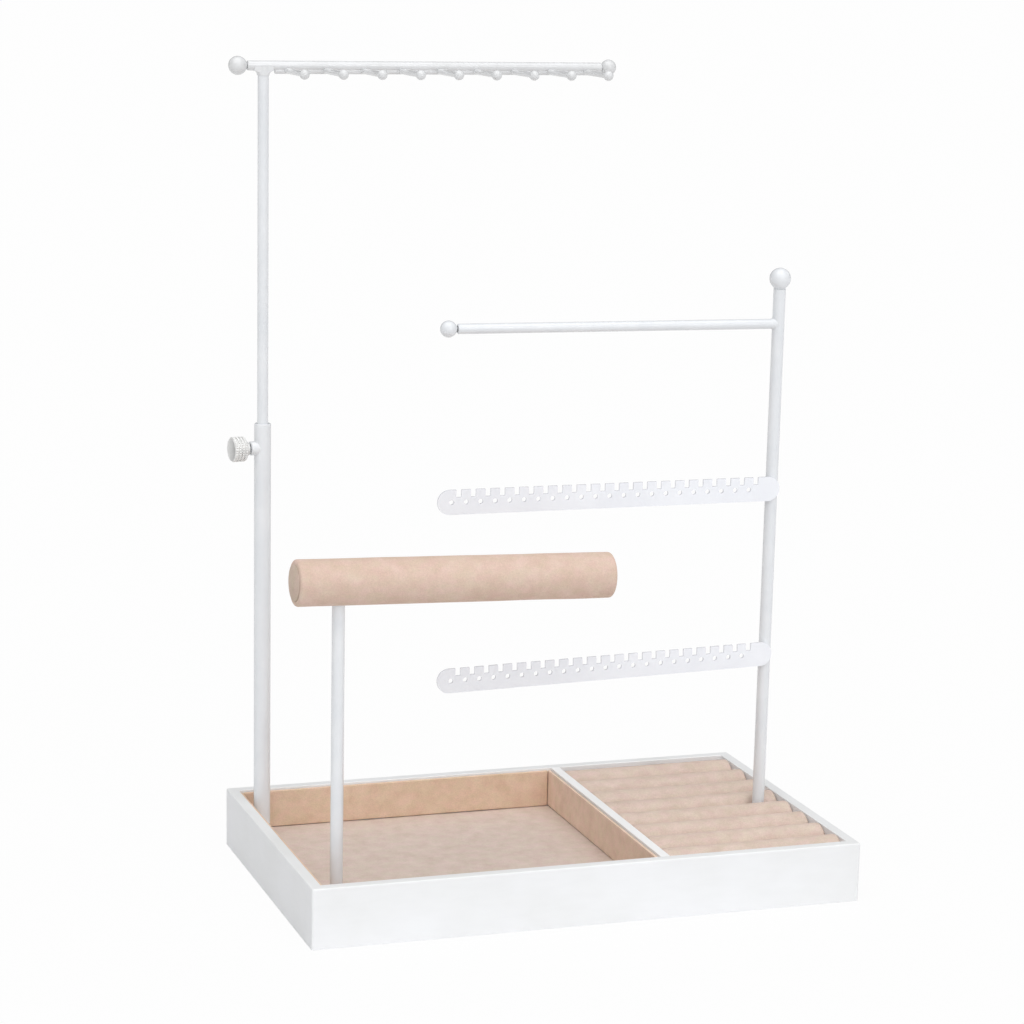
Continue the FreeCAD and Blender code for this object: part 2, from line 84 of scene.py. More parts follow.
def noise(nodes, links, space, scale, detail=3, roughness=0.5):
    texture = nodes.new("ShaderNodeTexNoise")
    adjust(texture, {"Scale": scale, "Detail": detail, "Roughness": roughness})
    links.new(space, texture.inputs["Vector"])
    return texture.outputs["Fac"]


def tones(nodes, links, factor, stops):
    """Colour ramp from (position, colour) stops."""
    ramp = nodes.new("ShaderNodeValToRGB")
    points = ramp.color_ramp.elements
    points[0].position, points[0].color = stops[0]
    points[1].position, points[1].color = stops[-1]
    for position, colour in stops[1:-1]:
        points.new(position).color = colour
    links.new(factor, ramp.inputs["Fac"])
    return ramp.outputs["Color"]


def mapped(nodes, links, value, given, wanted=(0, 1)):
    """The value, moved from the given span to the wanted one and held inside it."""
    span = nodes.new("ShaderNodeMapRange")
    adjust(span, dict(zip(("From Min", "From Max", "To Min", "To Max"), given + wanted)))
    links.new(value, span.inputs["Value"])
    return span.outputs["Result"]


def colours(sockets):
    """A mix node's colour sockets, among those of the same name for other kinds of value."""
    return [socket for socket in sockets if socket.type == "RGBA"]


def blended(nodes, links, factor, first, second):
    """The first colour where the factor is 0 and the second where it is 1."""
    mix = nodes.new("ShaderNodeMix")
    mix.data_type = "RGBA"
    links.new(factor, mix.inputs["Factor"])
    for colour, socket in zip((first, second), colours(mix.inputs)):
        links.new(colour, socket)
    return colours(mix.outputs)[0]


def multiplied(nodes, links, colour, shade):
    mix = nodes.new("ShaderNodeMix")
    mix.data_type = "RGBA"
    mix.blend_type = "MULTIPLY"
    mix.inputs["Factor"].default_value = 1
    for tint, socket in zip((colour, shade), colours(mix.inputs)):
        links.new(tint, socket)
    return colours(mix.outputs)[0]


def raised(nodes, links, shader, height, strength, distance):
    bump = nodes.new("ShaderNodeBump")
    adjust(bump, {"Strength": strength, "Distance": distance})
    links.new(height, bump.inputs["Height"])
    links.new(bump.outputs["Normal"], shader.inputs["Normal"])


# ---------------------------------------------------------------- finishes
def enamel_coat(name, thin, full):
    """Glossy baked white enamel on steel, with a faint orange peel."""
    material, nodes, links, shader = new_finish(name)
    space = pattern_space(nodes, links)
    cloud = noise(nodes, links, space, scale=60)
    colour = tones(nodes, links, cloud, [(0.3, thin), (0.7, full)])
    links.new(colour, shader.inputs["Base Color"])
    adjust(shader, {"Roughness": 0.24, "Coat Weight": 0.5, "Coat Roughness": 0.08})
    orange_peel = noise(nodes, links, space, scale=700)
    raised(nodes, links, shader, orange_peel, strength=0.05, distance=0.04 * MM)
    return material, nodes, links, shader, colour


def finial_enamel(node, ball_end, whites):
    """Enamel on a finial's ball; its threaded stud, seen in the joint's gap, is coloured dark
    steel grey, which paints shade into that gap.
    """
    low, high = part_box(node)
    radius = (high.y - low.y) / 2
    centre = (low + high) / 2
    centre.x = low.x + radius if ball_end == "left" else high.x - radius
    material, nodes, links, shader, enamel = enamel_coat(node + "_enamel", *whites)
    where = nodes.new("ShaderNodeTexCoord").outputs["Object"]
    reach = nodes.new("ShaderNodeVectorMath")
    reach.operation = "DISTANCE"
    reach.inputs[1].default_value = centre
    links.new(where, reach.inputs[0])
    # Painted shade: all outside the ball's sphere, the stud in the gap, is coloured dark steel
    # grey so the joint's gap reads darker.
    stud_shade_mask = mapped(nodes, links, reach.outputs["Value"],
                  (radius + 0.12 * MM, radius + 0.16 * MM))
    thread = noise(nodes, links, where, scale=2500)
    steel = tones(nodes, links, thread, [(0.3, srgb(78, 79, 82)), (0.7, srgb(112, 113, 116))])
    links.new(blended(nodes, links, stud_shade_mask, enamel, steel), shader.inputs["Base Color"])
    return material


def painted_board(name, stretch, thin_rim_shading, full_rim_shading):
    """Satin white paint on board, with faint cloudy blotches, and the rim top in a tone of its
    own: painted light on the divider, painted shade on the walls.
    """
    material, nodes, links, shader = new_finish(name)
    cloud = noise(nodes, links, pattern_space(nodes, links), scale=28, detail=2)
    grain = noise(nodes, links, pattern_space(nodes, links, stretch), scale=70, detail=5,
                  roughness=0.6)
    blotches = tones(nodes, links, cloud,
                     [(0.35, srgb(233, 234, 235)), (0.65, srgb(237, 238, 240))])
    lines = tones(nodes, links, grain, [(0.3, grey(0.985)), (0.6, grey(1))])
    faces = multiplied(nodes, links, blotches, lines)
    # Painted light and shade on the rim top: its tone is set apart from the faces so the top comes
    # out as bright as wanted under these lamps.
    painted_rim_shading = tones(nodes, links, cloud, [(0.35, thin_rim_shading), (0.65, full_rim_shading)])
    place = nodes.new("ShaderNodeSeparateXYZ")
    links.new(pattern_space(nodes, links), place.inputs["Vector"])
    rim_shading_mask = mapped(nodes, links, place.outputs["Z"],
                        (RIM_HEIGHT - 0.7 * MM, RIM_HEIGHT - 0.2 * MM))
    links.new(blended(nodes, links, rim_shading_mask, faces, painted_rim_shading), shader.inputs["Base Color"])
    shader.inputs["Roughness"].default_value = 0.5
    raised(nodes, links, shader, grain, strength=0.03, distance=0.08 * MM)
    return material


def velvet(name, brushed_and_end_shade, plain, worn, sheen):
    """Short-pile velvet: stroke marks in the nap, patches that lean to beige, a fine pile."""
    material, nodes, links, shader = new_finish(name)
    space = pattern_space(nodes, links)
    strokes = noise(nodes, links, space, scale=110, detail=5, roughness=0.65)
    colour = tones(nodes, links, strokes, [(0.32, worn), (0.5, plain), (0.68, brushed_and_end_shade)])
    patches = noise(nodes, links, pattern_space(nodes, links, (1, 1.4, 1.8)), scale=150, detail=4)
    to_pink, to_beige = (1.01, 0.99, 1.0, 1), (0.97, 1.01, 0.955, 1)
    lean = tones(nodes, links, patches, [(0.36, to_pink), (0.64, to_beige)])
    nap = multiplied(nodes, links, colour, lean)
    pile = noise(nodes, links, space, scale=1500, detail=2)
    flecks = tones(nodes, links, pile, [(0.3, grey(0.88)), (0.7, grey(1))])
    links.new(multiplied(nodes, links, nap, flecks), shader.inputs["Base Color"])
    adjust(shader, {"Roughness": 0.95, "Specular IOR Level": 0.15, "Sheen Weight": sheen,
                    "Sheen Roughness": 0.45, "Sheen Tint": srgb(255, 240, 230)})
    raised(nodes, links, shader, pile, strength=0.35, distance=0.18 * MM)
    return material


def knob_end(node):
    """The clamp screw's axis, and where the knob's free end face lies along it."""
    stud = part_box("clamp_stud")
    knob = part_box(node)
    axis = (stud[0] + stud[1]) / 2 - (knob[0] + knob[1]) / 2
    axis.z = 0
    axis.normalize()
    return axis, min(vertex.co.dot(axis) for vertex in NODES[node].data.vertices)


def bright_nickel(node):
    """Satin nickel that is nearly white on the knurl and greyer on the end face, the grey being
    painted shade for a face turned away from the light.
    """
    material, nodes, links, shader = new_finish("bright_nickel")
    space = pattern_space(nodes, links)
    cloud = noise(nodes, links, space, scale=300, detail=4)
    knurl = tones(nodes, links, cloud, [(0.3, srgb(226, 226, 225)), (0.7, srgb(236, 236, 235))])
    # Painted shade: the end face, turned away from the light, gets a greyer tone than the knurl.
    brushed_and_end_shade = tones(nodes, links, cloud, [(0.3, srgb(176, 176, 175)), (0.7, srgb(192, 192, 191))])
    axis, end_face = knob_end(node)
    along = nodes.new("ShaderNodeVectorMath")
    along.operation = "DOT_PRODUCT"
    along.inputs[1].default_value = axis
    links.new(space, along.inputs[0])
    end_face_shade_mask = mapped(nodes, links, along.outputs["Value"], (end_face + 0.25 * MM, end_face))
    links.new(blended(nodes, links, end_face_shade_mask, knurl, brushed_and_end_shade), shader.inputs["Base Color"])
    adjust(shader, {"Metallic": 0.45, "Roughness": 0.5})
    scratches = noise(nodes, links, space, scale=1400)
    raised(nodes, links, shader, scratches, strength=0.08, distance=0.05 * MM)
    return material


def zinc_plate():
    material, nodes, links, shader = new_finish("zinc_plate")
    space = pattern_space(nodes, links)
    spangle = noise(nodes, links, space, scale=500, detail=5)
    colour = tones(nodes, links, spangle, [(0.3, srgb(150, 151, 154)), (0.7, srgb(184, 185, 187))])
    links.new(colour, shader.inputs["Base Color"])
    adjust(shader, {"Metallic": 1.0, "Roughness": 0.38})
    pits = noise(nodes, links, space, scale=2200)
    raised(nodes, links, shader, pits, strength=0.15, distance=0.04 * MM)
    return material


def pressed_felt():
    """Grey-beige felt: tangled fibres in two lengths."""
    material, nodes, links, shader = new_finish("pressed_felt")
    space = pattern_space(nodes, links)
    fibres = noise(nodes, links, space, scale=1100, detail=6, roughness=0.75)
    patches = noise(nodes, links, space, scale=90)
    colour = tones(nodes, links, fibres, [(0.3, srgb(186, 176, 164)), (0.7, srgb(212, 203, 192))])
    shade = tones(nodes, links, patches, [(0.3, grey(0.92)), (0.7, grey(1))])
    links.new(multiplied(nodes, links, colour, shade), shader.inputs["Base Color"])
    adjust(shader, {"Roughness": 1.0, "Sheen Weight": 0.2})
    raised(nodes, links, shader, fibres, strength=0.6, distance=0.25 * MM)
    return material


def one_grain(name, stretch, grain, dark, light, roughness, strength, distance):
    """Matt stuff whose colour and relief both follow one grain."""
    material, nodes, links, shader = new_finish(name)
    pattern = noise(nodes, links, pattern_space(nodes, links, stretch), **grain)
    links.new(tones(nodes, links, pattern, [(0.3, dark), (0.7, light)]),
              shader.inputs["Base Color"])
    shader.inputs["Roughness"].default_value = roughness
    raised(nodes, links, shader, pattern, strength, distance)
    return material


# One white enamel in three tones: the crossbar's is darker as painted shade, the strips' lighter
# as painted light, and bluer.
ROD_WHITES = (srgb(222, 225, 229), srgb(230, 232, 235))
BAR_SHADED_WHITES = (srgb(217, 218, 219), srgb(224, 225, 227))
STRIP_LIT_WHITES = (srgb(235, 237, 243), srgb(240, 242, 247))
# Rim-top tones are painted light and shade: darker than the faces on the walls, lighter on the
# divider.
WALL_RIM_SHADE_WHITES = (srgb(229, 230, 230), srgb(233, 234, 235))
DIVIDER_RIM_LIGHT_WHITES = (srgb(243, 243, 243), srgb(247, 247, 248))
ALONG_X = (1, 4, 4)
ALONG_Y = (4, 1, 4)

ENAMEL = enamel_coat("white_enamel", *ROD_WHITES)[0]
BAR_SHADED_ENAMEL = enamel_coat("bar_enamel_shaded", *BAR_SHADED_WHITES)[0]
STRIP_LIT_ENAMEL = enamel_coat("strip_enamel_lit", *STRIP_LIT_WHITES)[0]
BOARD_ALONG_X = painted_board("white_paint_long_boards", ALONG_X, *WALL_RIM_SHADE_WHITES)
BOARD_ALONG_Y = painted_board("white_paint_short_boards", ALONG_Y, *WALL_RIM_SHADE_WHITES)
DIVIDER_BOARD = painted_board("white_paint_divider", ALONG_Y, *DIVIDER_RIM_LIGHT_WHITES)
# The six velvets are one fabric. Their tones differ as painted light and shade, each set so its
# surface comes out as bright and warm as wanted under these lamps: the tray linings lighter and
# warmer, the end disc darker, the tray floor and ring rolls greyer.
ROLL_VELVET = velvet("roll_velvet_nap", srgb(223, 199, 186), srgb(218, 192, 178),
                     srgb(212, 185, 170), sheen=0.2)
END_VELVET = velvet("roll_end_nap", srgb(214, 194, 180), srgb(208, 187, 173),
                    srgb(201, 179, 164), sheen=0.15)
CARD_VELVET = velvet("tray_lining_nap", srgb(236, 209, 188), srgb(230, 202, 180),
                     srgb(222, 192, 169), sheen=0.2)
DIVIDER_VELVET = velvet("divider_lining_nap", srgb(239, 214, 197), srgb(233, 207, 189),
                        srgb(225, 198, 179), sheen=0.2)
FLOOR_VELVET = velvet("tray_floor_nap", srgb(221, 204, 195), srgb(215, 197, 188),
                      srgb(208, 188, 178), sheen=0.25)
RING_VELVET = velvet("ring_roll_nap", srgb(222, 202, 191), srgb(216, 195, 184),
                     srgb(209, 187, 175), sheen=0.25)
NICKEL = bright_nickel("clamp_knob")
ZINC = zinc_plate()
BOARD_UNDER = one_grain("base_board", (1, 8, 8), {"scale": 80, "detail": 6},
                        srgb(214, 206, 194), srgb(226, 219, 209),
                        roughness=0.7, strength=0.2, distance=0.1 * MM)
FELT = pressed_felt()
DOWEL = one_grain("dowel_wood", (1, 14, 14), {"scale": 40, "detail": 7, "roughness": 0.6},
                  srgb(178, 140, 98), srgb(214, 180, 138),
                  roughness=0.65, strength=0.2, distance=0.1 * MM)
WADDING = one_grain("wadding", (1, 1, 1), {"scale": 500, "detail": 6, "roughness": 0.7},
                    srgb(214, 210, 202), srgb(236, 233, 227),
                    roughness=1.0, strength=0.6, distance=0.3 * MM)


def finish_node(material, *names):
    for name in names:
        NODES[name].data.materials.clear()
        NODES[name].data.materials.append(material)


def finish_cad_nodes():
    pegs = [name for name in NODES if name.startswith("necklace_peg_")]
    finish_node(ENAMEL, "mast_tube", "clamp_boss", "mast_rod", "bracelet_post", "display_post",
                "display_post_ball", "side_bar")
    # The crossbar's pieces get the darker enamel, painted shade; the strips get the lighter one,
    # painted light.
    finish_node(BAR_SHADED_ENAMEL, "crossbar", "crossbar_tee", "peg_rail", *pegs)
    finish_node(STRIP_LIT_ENAMEL, "earring_strip_upper", "earring_strip_lower")
    for node, ball_end, whites in (("crossbar_left_ball", "left", BAR_SHADED_WHITES),
                                   ("crossbar_right_ball", "right", BAR_SHADED_WHITES),
                                   ("side_bar_ball", "left", ROD_WHITES)):
        finish_node(finial_enamel(node, ball_end, whites), node)
    finish_node(BOARD_ALONG_X, "front_wall", "back_wall")
    finish_node(BOARD_ALONG_Y, "left_wall", "right_wall")
    finish_node(DIVIDER_BOARD, "divider")
    finish_node(BOARD_UNDER, "bottom_panel")
    finish_node(FELT, "base_felt")
    finish_node(NICKEL, "clamp_knob")
    finish_node(ZINC, "clamp_stud", "mast_foot_plug", "post_screws", "post_washers")
    finish_node(DOWEL, "roll_core")
    finish_node(WADDING, "roll_padding")
    finish_node(RING_VELVET, "ring_bed")


# ---------------------------------------------------------------- modelling helpers
def deselect_all():
    if bpy.context.mode != "OBJECT":
        bpy.ops.object.mode_set(mode="OBJECT")
    bpy.ops.object.select_all(action="DESELECT")


def make_active(piece):
    deselect_all()
    piece.select_set(True)
    bpy.context.view_layer.objects.active = piece


def named(name):
    """The new primitive, renamed, with its place and turn moved into its mesh."""
    piece = bpy.context.active_object
    piece.name = name
    piece.data.name = name
    bpy.ops.object.transform_apply(location=True, rotation=True, scale=True)
    return piece


def lying_cylinder(name, sides, radius, length, centre=(0, 0, 0)):
    """Cylinder along X with flat end faces."""
    deselect_all()
    bpy.ops.mesh.primitive_cylinder_add(vertices=sides, radius=radius, depth=length,
                                        end_fill_type="NGON", location=centre,
                                        rotation=(0, math.pi / 2, 0))
    return named(name)


def pick(piece, kind, test):
    """Enters edit mode on the piece with only the parts selected that pass the test."""
    make_active(piece)
    bpy.ops.object.mode_set(mode="EDIT")
    bpy.ops.mesh.select_mode(type=kind)
    bpy.ops.mesh.select_all(action="DESELECT")
    bpy.ops.object.mode_set(mode="OBJECT")
    mesh = piece.data
    parts = {"VERT": mesh.vertices, "EDGE": mesh.edges, "FACE": mesh.polygons}[kind]
    for part in parts:
        part.select = test(part)
    bpy.ops.object.mode_set(mode="EDIT")


def slice_evenly(piece, axis, low, high, cuts):
    """Cuts the whole piece across an axis, so that it can bend and swell there."""
    pick(piece, "VERT", lambda vertex: True)
    normal = Vector((0, 0, 0))
    normal[axis] = 1
    for number in range(1, cuts + 1):
        place = normal * (low + (high - low) * number / (cuts + 1))
        bpy.ops.mesh.select_all(action="SELECT")
        bpy.ops.mesh.bisect(plane_co=place, plane_no=normal)
    bpy.ops.object.mode_set(mode="OBJECT")


def edge_ends(piece, edge):
    return [piece.data.vertices[index].co for index in edge.vertices]


def runs_round(piece, edge):
    """True on an edge of a cylinder along X that runs round it."""
    first, second = edge_ends(piece, edge)
    return abs(first.x - second.x) < SAME_PLACE / 10


def runs_round_at(piece, edge, place):
    """True on an edge that runs round at this place along X."""
    return all(abs(end.x - place) < SAME_PLACE for end in edge_ends(piece, edge))


def box_edge_test(piece):
    """Test for the edges of a sliced box: both ends lie on the same two outer planes."""
    places = [vertex.co.copy() for vertex in piece.data.vertices]
    planes = [(axis, outermost(place[axis] for place in places))
              for axis in range(3) for outermost in (min, max)]

    def on_box_edge(edge):
        ends = edge_ends(piece, edge)
        return sum(all(abs(end[axis] - limit) < SAME_PLACE for end in ends)
                   for axis, limit in planes) >= 2
    return on_box_edge


def round_edges(piece, test, width, segments):
    pick(piece, "EDGE", test)
    bpy.ops.mesh.bevel(offset=width, segments=segments, affect="EDGES")
    bpy.ops.object.mode_set(mode="OBJECT")


def apply(piece, kind, **settings):
    """Adds a modifier with these settings and applies it."""
    make_active(piece)
    modifier = piece.modifiers.new(kind.lower(), kind)
    for name, value in settings.items():
        setattr(modifier, name, value)
    bpy.ops.object.modifier_apply(modifier=modifier.name)


def uneven(piece, name, size, strength):
    """Small soft unevenness of stuffed cloth."""
    texture = bpy.data.textures.new(name, "CLOUDS")
    texture.noise_scale = size
    texture.noise_depth = 2
    apply(piece, "DISPLACE", texture=texture, strength=strength, mid_level=0.5,
          texture_coords="LOCAL")


def smooth(piece, angle):
    make_active(piece)
    bpy.ops.object.shade_smooth_by_angle(angle=math.radians(angle))


def dress(piece, material):
    piece.data.materials.clear()
    piece.data.materials.append(material)
    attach(piece, STAND)


def swell(piece, voxel, cap, held):
    """Blows the piece up a little as cloth, holding the vertices that pass the test.

    The solver is made for things the size of a cushion, so the piece is ten times
    larger while it runs.
    """
    enlarged = 10
    last_frame = 20
    apply(piece, "REMESH", mode="VOXEL", voxel_size=voxel)
    mesh = piece.data
    mesh.transform(Matrix.Scale(enlarged, 4))
    before = [vertex.co.copy() for vertex in mesh.vertices]
    pinned = piece.vertex_groups.new(name="held")
    pinned.add([v.index for v in mesh.vertices if held(v.co / enlarged)], 1.0, "ADD")
    cloth = piece.modifiers.new("cloth", "CLOTH")
    cloth.settings.quality = 6
    cloth.settings.use_pressure = True
    cloth.settings.uniform_pressure_force = 4.0
    cloth.settings.effector_weights.gravity = 0
    cloth.settings.vertex_group_mass = "held"
    cloth.point_cache.frame_start = 1
    cloth.point_cache.frame_end = last_frame
    for step in range(1, last_frame + 1):
        bpy.context.scene.frame_set(step)
    make_active(piece)
    bpy.ops.object.modifier_apply(modifier="cloth")
    bpy.context.scene.frame_set(1)
    for vertex, old in zip(mesh.vertices, before):
        moved = vertex.co - old
        if moved.length > cap * enlarged:
            vertex.co = old + moved.normalized() * cap * enlarged
    mesh.transform(Matrix.Scale(1 / enlarged, 4))
    piece.vertex_groups.clear()


# ---------------------------------------------------------------- tray lining
def wrapped_card(node, material, turnover):
    """Velvet stretched over stiff card: soft turned edges and a faintly uneven face."""
    gap = 0.15 * MM
    sliced_from = 15 * MM
    slice_width = 4 * MM
    low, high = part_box(node)
    size = high - low
    deselect_all()
    bpy.ops.mesh.primitive_cube_add(size=1, location=(low + high) / 2,
                                    scale=[max(length - 2 * gap, gap) for length in size])
    piece = named(node.replace("liner", "lining").replace("pad", "lining"))
    for axis in range(3):
        if size[axis] > sliced_from:
            slice_evenly(piece, axis, low[axis], high[axis], int(size[axis] / slice_width))
    round_edges(piece, box_edge_test(piece), turnover, segments=4)
    uneven(piece, node + "_folds", size=22 * MM, strength=0.25 * MM)
    apply(piece, "SUBSURF", levels=1, render_levels=1)
    smooth(piece, 60)
    dress(piece, material)
    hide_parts(node)
    return piece


def line_tray():
    turnover = 0.6 * MM
    for node in ("left_liner", "front_liner", "back_liner"):
        wrapped_card(node, CARD_VELVET, turnover)
    wrapped_card("divider_liner", DIVIDER_VELVET, turnover)


def lay_tray_floor():
    """The floor's velvet card, cut round the two posts that stand in it."""
    clearance = 0.15 * MM
    cutter_length, cutter_height = 20 * MM, 9 * MM
    piece = wrapped_card("tray_floor_pad", FLOOR_VELVET, turnover=0.5 * MM)
    for node in ("mast_tube", "bracelet_post"):
        low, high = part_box(node)
        centre = (low + high) / 2
        deselect_all()
        bpy.ops.mesh.primitive_cylinder_add(vertices=48, depth=cutter_length,
                                            radius=(high.x - low.x) / 2 + clearance,
                                            location=(centre.x, centre.y, cutter_height))
        cutter = named("hole_cutter")
        apply(piece, "BOOLEAN", object=cutter, operation="DIFFERENCE", solver="EXACT")
        bpy.data.objects.remove(cutter)


# ---------------------------------------------------------------- ring rolls
def first_ring_roll():
    """A velvet roll over foam: blown up as cloth, flat where it sits on the bed."""
    room_to_swell = 0.25 * MM
    end_gap = 0.05 * MM
    flattened = 0.4 * MM
    above_bed = 0.1 * MM
    glued = 1 * MM
    low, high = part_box("ring_roll_1")
    radius = (high.y - low.y) / 2
    centre = ((low.x + high.x) / 2, (low.y + high.y) / 2, high.z - radius)
    bed = low.z
    piece = lying_cylinder("ring_roll_cover_1", 64, radius - room_to_swell,
                           high.x - low.x - 2 * end_gap, centre)
    round_edges(piece, lambda edge: runs_round(piece, edge), 0.6 * MM, segments=3)
    pick(piece, "VERT", lambda vertex: vertex.co.z < bed + flattened)
    bpy.ops.transform.resize(value=(1, 1, 0), center_override=(0, 0, bed + above_bed))
    bpy.ops.object.mode_set(mode="OBJECT")
    swell(piece, voxel=1.0 * MM, cap=0.3 * MM, held=lambda place: place.z < bed + glued)
    return piece


def press_round_post(piece, post, reach):
    """Pushes the foam aside where a post stands in it, with a dimple round it."""
    clearance = 0.1 * MM
    dimple = 2.2 * MM
    low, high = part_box(post)
    centre = (low + high) / 2
    bore = (high.x - low.x) / 2 + clearance
    for vertex in piece.data.vertices:
        away = Vector((vertex.co.x - centre.x, vertex.co.y - centre.y, 0))
        if away.length < reach:
            share = away.length / reach
            pushed = away.normalized() * (bore + (reach - bore) * share)
            vertex.co.x = centre.x + pushed.x
            vertex.co.y = centre.y + pushed.y
            vertex.co.z -= dimple * (1 - share) ** 2


def fill_ring_compartment():
    first = first_ring_roll()
    first_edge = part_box("ring_roll_1")[1].y
    rolls = [first]
    for number in range(2, 9):
        roll = first.copy()
        roll.data = first.data.copy()
        roll.name = roll.data.name = "ring_roll_cover_%d" % number
        bpy.context.scene.collection.objects.link(roll)
        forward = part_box("ring_roll_%d" % number)[1].y - first_edge
        roll.data.transform(Matrix.Translation((0, forward, 0)))
        rolls.append(roll)
    for number, roll in enumerate(rolls, 1):
        node = "ring_roll_%d" % number
        uneven(roll, node + "_stuffing", size=16 * MM, strength=0.3 * MM)
        if number in (4, 5):
            press_round_post(roll, "display_post", reach=8 * MM)
        smooth(roll, 70)
        dress(roll, RING_VELVET)
        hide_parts(node)


# ---------------------------------------------------------------- bracelet roll
def roll_axis():
    """Middle, direction, length and radius of the bracelet roll."""
    cap_thickness = 1.6 * MM
    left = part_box("roll_left_cap")
    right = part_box("roll_right_cap")
    start = (left[0] + left[1]) / 2
    end = (right[0] + right[1]) / 2
    span = end - start
    return ((start + end) / 2, span.normalized(), span.length + cap_thickness,
            (left[1].z - left[0].z) / 2)


def set_on_roll(piece, middle, along):
    """Turns and moves a piece that was modelled along X round the origin."""
    piece.rotation_mode = "QUATERNION"
    piece.rotation_quaternion = along.to_track_quat("X", "Z")
    piece.location = middle
    make_active(piece)
    bpy.ops.object.transform_apply(location=True, rotation=True, scale=True)


def velvet_sleeve(middle, along, length, radius):
    """Sleeve that turns in at both ends: over the disc at the left, rounded at the right."""
    inset = 0.2 * MM
    unsliced_end = 4 * MM
    recess = 1.1 * MM
    recess_taper = 0.985
    left, right = -1, 1
    piece = lying_cylinder("roll_sleeve", 96, radius - inset, length - 2 * inset)
    slice_evenly(piece, 0, -length / 2 + unsliced_end, length / 2 - unsliced_end, 60)
    for side, rounding, turned_in in ((left, 1.6 * MM, 2.4 * MM), (right, 1.0 * MM, 0.0)):
        end = side * (length / 2 - inset)
        round_edges(piece, lambda edge: runs_round_at(piece, edge, end), rounding, segments=6)
        if turned_in:
            pick(piece, "FACE", lambda face: face.normal.x * side > 0.999
                 and abs(face.center.x - end) < SAME_PLACE)
            bpy.ops.mesh.inset(thickness=turned_in - rounding)
            bpy.ops.mesh.extrude_region_move(
                TRANSFORM_OT_translate={"value": (-side * recess, 0, 0)})
            bpy.ops.transform.resize(value=(1, recess_taper, recess_taper))
            bpy.ops.object.mode_set(mode="OBJECT")
    uneven(piece, "sleeve_tension", size=30 * MM, strength=0.35 * MM)
    smooth(piece, 50)
    set_on_roll(piece, middle, along)
    dress(piece, ROLL_VELVET)
    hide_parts("roll_velvet", "roll_right_cap")


def end_disc(middle, along, length, radius):
    """Velvet-covered disc that bulges out of the sleeve's left end, a little off centre."""
    sleeve_turn = 2.5 * MM
    thickness = 1.6 * MM
    sunk = 0.7 * MM
    off_centre = 0.9 * MM
    ring_width = 2.2 * MM
    ring_rises = (0.55 * MM, 0.4 * MM, 0.3 * MM, 0.15 * MM)
    piece = lying_cylinder("roll_end_disc", 96, radius - sleeve_turn, thickness,
                           (-length / 2 + sunk, off_centre, 0))
    round_edges(piece, lambda edge: runs_round(piece, edge), 0.5 * MM, segments=4)
    pick(piece, "FACE", lambda face: face.normal.x < -0.999)
    for rise in ring_rises:
        bpy.ops.mesh.inset(thickness=ring_width)
        bpy.ops.transform.translate(value=(-rise, 0, 0))
    bpy.ops.object.mode_set(mode="OBJECT")
    smooth(piece, 40)
    set_on_roll(piece, middle, along)
    dress(piece, END_VELVET)
    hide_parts("roll_left_cap")


def cover_bracelet_roll():
    shape = roll_axis()
    velvet_sleeve(*shape)
    end_disc(*shape)


# ---------------------------------------------------------------- studio
LAMPS = (("key", (0.12, -0.98, 0.18), 0.47, 50),
         ("top", (-0.12, -0.3, 0.94), 1.44, 70),
         ("left_glint", (-0.83, -0.55, 0.45), 0.08, 8),
         ("right_glint", (0.30, -0.95, 0.45), 0.08, 8))
ROOM_BELOW_TO_ABOVE = (0.44, 0.74)
ROOM_FRONT_TO_BACK = (1.3, 0.5)
CAMERA_PLACE = (-0.5184, -1.4575, 0.5020)
CAMERA_YAW, CAMERA_PITCH, CAMERA_ROLL = (math.radians(angle) for angle in (19.015, 13.55, 1.2625))
CAMERA_SENSOR = 36
CAMERA_LENS = 104.766
CAMERA_SHIFT = 0.125


def lay_floor():
    """Endless pale floor. The camera sees it nearly white, with the stand's faint shadow."""
    seen_as_white = 0.95
    deselect_all()
    bpy.ops.mesh.primitive_plane_add(size=60, location=(0, 20, 0))
    floor = bpy.context.active_object
    floor.name = "studio_floor"
    material, nodes, links, shader = new_finish("studio_paper")
    adjust(shader, {"Base Color": srgb(232, 232, 232), "Roughness": 1.0,
                    "Specular IOR Level": 0.0})
    white = nodes.new("ShaderNodeEmission")
    white.inputs["Color"].default_value = srgb(254.5, 254.5, 254.5)
    path = nodes.new("ShaderNodeLightPath")
    share = nodes.new("ShaderNodeMath")
    share.operation = "MULTIPLY"
    share.inputs[1].default_value = seen_as_white
    mix = nodes.new("ShaderNodeMixShader")
    links.new(path.outputs["Is Camera Ray"], share.inputs[0])
    links.new(share.outputs[0], mix.inputs["Fac"])
    links.new(shader.outputs["BSDF"], mix.inputs[1])
    links.new(white.outputs["Emission"], mix.inputs[2])
    links.new(mix.outputs["Shader"], nodes["Material Output"].inputs["Surface"])
    floor.data.materials.append(material)


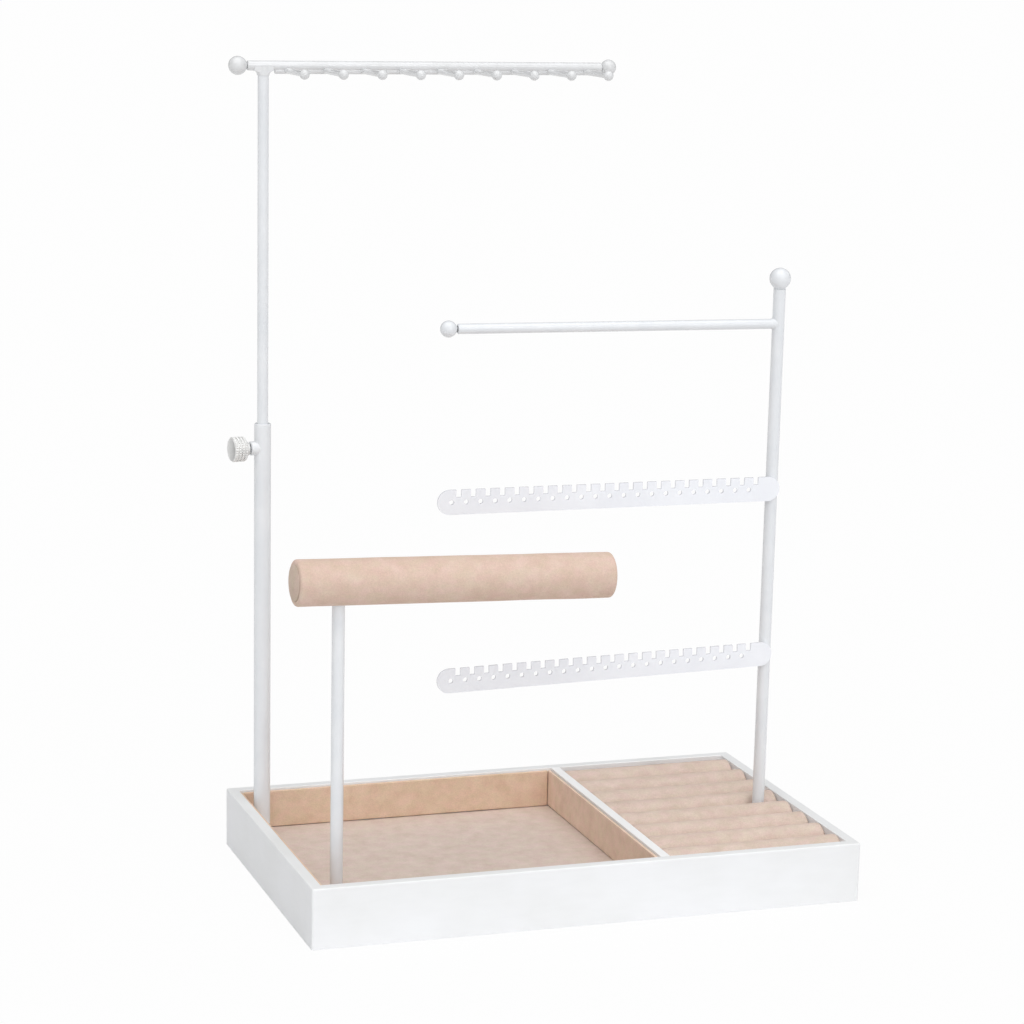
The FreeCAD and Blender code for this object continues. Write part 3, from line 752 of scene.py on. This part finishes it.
def surround():
    """Grey-white surroundings, dimmer behind, that the camera sees as white."""
    world = bpy.data.worlds.new("studio")
    bpy.context.scene.world = world
    world.use_nodes = True
    nodes, links = world.node_tree.nodes, world.node_tree.links
    background = nodes["Background"]
    towards = nodes.new("ShaderNodeSeparateXYZ")
    links.new(nodes.new("ShaderNodeTexCoord").outputs["Generated"], towards.inputs["Vector"])
    sky = mapped(nodes, links, towards.outputs["Z"], (0, 1), ROOM_BELOW_TO_ABOVE)
    dimming = mapped(nodes, links, towards.outputs["Y"], (-1, 1), ROOM_FRONT_TO_BACK)
    room = nodes.new("ShaderNodeMath")
    room.operation = "MULTIPLY"
    links.new(sky, room.inputs[0])
    links.new(dimming, room.inputs[1])
    path = nodes.new("ShaderNodeLightPath")
    seen = nodes.new("ShaderNodeMix")
    seen.data_type = "RGBA"
    for_the_room, for_the_camera = colours(seen.inputs)
    links.new(room.outputs[0], for_the_room)
    for_the_camera.default_value = srgb(254, 254, 254)
    links.new(path.outputs["Is Camera Ray"], seen.inputs["Factor"])
    links.new(colours(seen.outputs)[0], background.inputs["Color"])
    background.inputs["Strength"].default_value = 1


def hang_lamps():
    """The key and the top lamp are wide and soft.

    The glints are faint and narrow, and only draw the bright lines on the rods and balls.
    """
    for name, towards, strength, width in LAMPS:
        lamp = bpy.data.lights.new(name, "SUN")
        lamp.energy = strength
        lamp.angle = math.radians(width)
        holder = bpy.data.objects.new(name, lamp)
        holder.rotation_mode = "QUATERNION"
        holder.rotation_quaternion = Vector(towards).to_track_quat("Z", "Y")
        bpy.context.scene.collection.objects.link(holder)


def place_camera():
    forward = Vector((math.sin(CAMERA_YAW) * math.cos(CAMERA_PITCH),
                      math.cos(CAMERA_YAW) * math.cos(CAMERA_PITCH), -math.sin(CAMERA_PITCH)))
    level_right = Vector((math.cos(CAMERA_YAW), -math.sin(CAMERA_YAW), 0))
    level_up = level_right.cross(forward)
    right = level_right * math.cos(CAMERA_ROLL) + level_up * math.sin(CAMERA_ROLL)
    up = level_up * math.cos(CAMERA_ROLL) - level_right * math.sin(CAMERA_ROLL)
    camera_data = bpy.data.cameras.new("camera")
    camera_data.sensor_width = CAMERA_SENSOR
    camera_data.lens = CAMERA_LENS
    camera_data.shift_y = CAMERA_SHIFT
    camera = bpy.data.objects.new("camera", camera_data)
    turn = Matrix((right, up, -forward)).transposed().to_4x4()
    camera.matrix_world = Matrix.Translation(CAMERA_PLACE) @ turn
    bpy.context.scene.collection.objects.link(camera)
    bpy.context.scene.camera = camera


finish_cad_nodes()
line_tray()
lay_tray_floor()
fill_ring_compartment()
cover_bracelet_roll()
lay_floor()
surround()
hang_lamps()
place_camera()
bpy.context.scene.view_settings.view_transform = "Standard"
